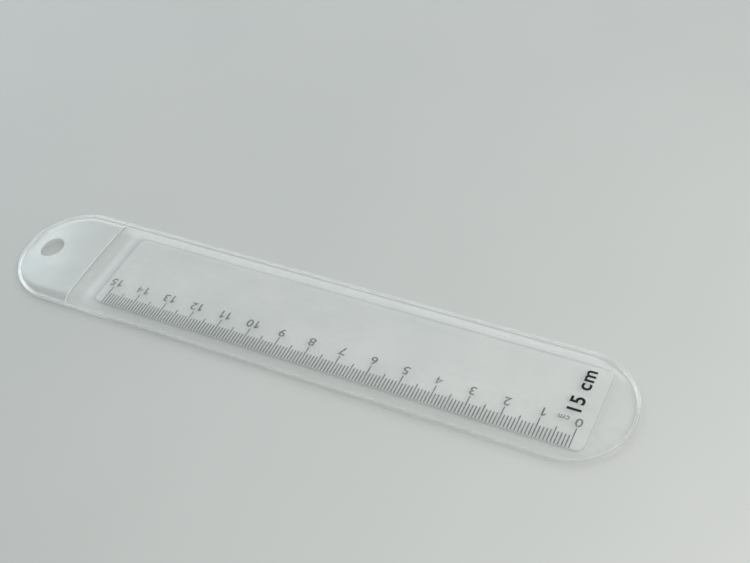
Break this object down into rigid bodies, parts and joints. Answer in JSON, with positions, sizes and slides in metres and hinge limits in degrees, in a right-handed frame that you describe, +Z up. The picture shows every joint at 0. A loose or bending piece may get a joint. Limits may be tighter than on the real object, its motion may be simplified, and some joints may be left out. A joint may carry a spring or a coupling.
{
  "type": "ruler in hanging sleeve",
  "caption": "Slim clear plastic centimetre ruler in a soft clear vinyl sleeve with round ends, a cross slit and a punched hanging tab.",
  "frame": {"origin": "centre of the bounding box's base, on the surface that the sleeve lies on", "axes": "+X along the sleeve to its closed round end, -X to the hanging tab, -Y to the ruler's scale edge, +Z up out of the front film"},
  "size_m": [0.204, 0.0374, 0.0026],
  "materials": {
    "ruler_plastic": "clear, polished, with a printed dark grey scale",
    "clear_vinyl": "clear soft vinyl, glossy, faint ripples",
    "header_vinyl": "clear soft vinyl, slightly milky, soft sheen",
    "welded_rim": "melted vinyl rim, glossy"
  },
  "bodies": {
    "sleeve": {"back_film": "clear_vinyl", "pocket_film": "clear_vinyl", "pocket_weld_bead": "welded_rim"},
    "tab": {"tab_back_film": "clear_vinyl", "header_film": "header_vinyl", "tab_weld_bead": "welded_rim"},
    "ruler": {"ruler_blade": "ruler_plastic"}
  },
  "joints": [
    {"name": "ruler_slide", "type": "slide", "parent": "sleeve", "child": "ruler", "axis": [-1, 0, 0], "range_m": [0, 0.02]},
    {"name": "tab_fold", "type": "hinge", "parent": "sleeve", "child": "tab", "pos_m": [-0.074, 0, 0], "axis": [0, 1, 0], "range_deg": [-120, 0], "stiffness_Nm_per_rad": 0.004}
  ]
}
